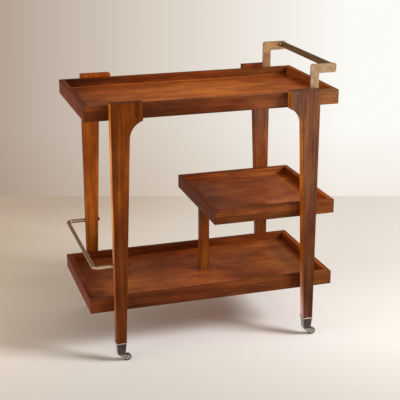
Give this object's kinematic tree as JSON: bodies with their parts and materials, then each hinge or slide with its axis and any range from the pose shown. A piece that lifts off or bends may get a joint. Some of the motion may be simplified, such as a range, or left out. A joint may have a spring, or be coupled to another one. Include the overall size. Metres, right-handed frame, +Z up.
{
  "type": "bar cart",
  "caption": "Rolling bar cart with rimmed wooden trays between flagged tapered legs, a brass push handle at one end and a bent bottle rail at the other.",
  "frame": {"origin": "on the floor under the middle of the cart", "axes": "+Z up, X along the trays with the handle at +X, front at -Y"},
  "size_m": [0.8, 0.4632, 0.901],
  "materials": {
    "rail_wood": "stained and lacquered, satin",
    "panel_wood": "stained and lacquered, semi-gloss",
    "leg_wood": "stained and lacquered, satin",
    "dowel_wood": "bare",
    "bracket_brass": "antiqued, satin",
    "bar_brass": "antiqued, brushed",
    "rod_brass": "antiqued, satin",
    "dark_nickel": "dark nickel plated",
    "fork_nickel": "nickel plated, worn",
    "screw_steel": "zinc plated",
    "wheel_rubber": "moulded, matt",
    "hub_metal": "turned"
  },
  "bodies": {
    "root": {"top_tray_front_rail": "rail_wood", "top_tray_back_rail": "rail_wood", "top_tray_left_rail": "rail_wood", "top_tray_right_rail": "rail_wood", "middle_shelf_front_rail": "rail_wood", "middle_shelf_back_rail": "rail_wood", "middle_shelf_left_rail": "rail_wood", "middle_shelf_right_rail": "rail_wood", "bottom_tray_front_rail": "rail_wood", "bottom_tray_back_rail": "rail_wood", "bottom_tray_left_rail": "rail_wood", "bottom_tray_right_rail": "rail_wood", "top_tray_panel": "panel_wood", "middle_shelf_panel": "panel_wood", "bottom_tray_panel": "panel_wood", "leg_front_left": "leg_wood", "leg_front_right": "leg_wood", "leg_rear_left": "leg_wood", "leg_rear_right": "leg_wood", "shelf_post": "leg_wood", "leg_dowels": "dowel_wood", "post_dowels": "dowel_wood", "handle_bracket_front": "bracket_brass", "handle_bracket_rear": "bracket_brass", "handle_bar": "bar_brass", "handle_collars": "bracket_brass", "bracket_screws": "screw_steel", "bottle_rail": "rod_brass", "bottle_rail_nuts": "dark_nickel", "caster_sleeves": "screw_steel", "caster_cup_front_left": "dark_nickel", "caster_cup_front_right": "dark_nickel", "caster_cup_rear_left": "dark_nickel", "caster_cup_rear_right": "dark_nickel"},
    "caster_front_left": {"caster_fork_front_left": "fork_nickel", "caster_axle_front_left": "fork_nickel"},
    "wheel_front_left": {"caster_tyre_front_left": "wheel_rubber", "caster_hub_front_left": "hub_metal"},
    "caster_front_right": {"caster_fork_front_right": "fork_nickel", "caster_axle_front_right": "fork_nickel"},
    "wheel_front_right": {"caster_tyre_front_right": "wheel_rubber", "caster_hub_front_right": "hub_metal"},
    "caster_rear_left": {"caster_fork_rear_left": "fork_nickel", "caster_axle_rear_left": "fork_nickel"},
    "wheel_rear_left": {"caster_tyre_rear_left": "wheel_rubber", "caster_hub_rear_left": "hub_metal"},
    "caster_rear_right": {"caster_fork_rear_right": "fork_nickel", "caster_axle_rear_right": "fork_nickel"},
    "wheel_rear_right": {"caster_tyre_rear_right": "wheel_rubber", "caster_hub_rear_right": "hub_metal"}
  },
  "joints": [
    {"name": "swivel_front_left", "type": "hinge", "parent": "root", "child": "caster_front_left", "pos_m": [-0.3118, -0.216, 0.03], "axis": [0, 0, 1], "continuous": true},
    {"name": "roll_front_left", "type": "hinge", "parent": "caster_front_left", "child": "wheel_front_left", "pos_m": [-0.2918, -0.216, 0.012], "axis": [0, 1, 0], "continuous": true},
    {"name": "swivel_front_right", "type": "hinge", "parent": "root", "child": "caster_front_right", "pos_m": [0.3118, -0.216, 0.03], "axis": [0, 0, 1], "continuous": true},
    {"name": "roll_front_right", "type": "hinge", "parent": "caster_front_right", "child": "wheel_front_right", "pos_m": [0.3318, -0.216, 0.012], "axis": [0, 1, 0], "continuous": true},
    {"name": "swivel_rear_left", "type": "hinge", "parent": "root", "child": "caster_rear_left", "pos_m": [-0.3118, 0.216, 0.03], "axis": [0, 0, 1], "continuous": true},
    {"name": "roll_rear_left", "type": "hinge", "parent": "caster_rear_left", "child": "wheel_rear_left", "pos_m": [-0.2918, 0.216, 0.012], "axis": [0, 1, 0], "continuous": true},
    {"name": "swivel_rear_right", "type": "hinge", "parent": "root", "child": "caster_rear_right", "pos_m": [0.3118, 0.216, 0.03], "axis": [0, 0, 1], "continuous": true},
    {"name": "roll_rear_right", "type": "hinge", "parent": "caster_rear_right", "child": "wheel_rear_right", "pos_m": [0.3318, 0.216, 0.012], "axis": [0, 1, 0], "continuous": true}
  ]
}
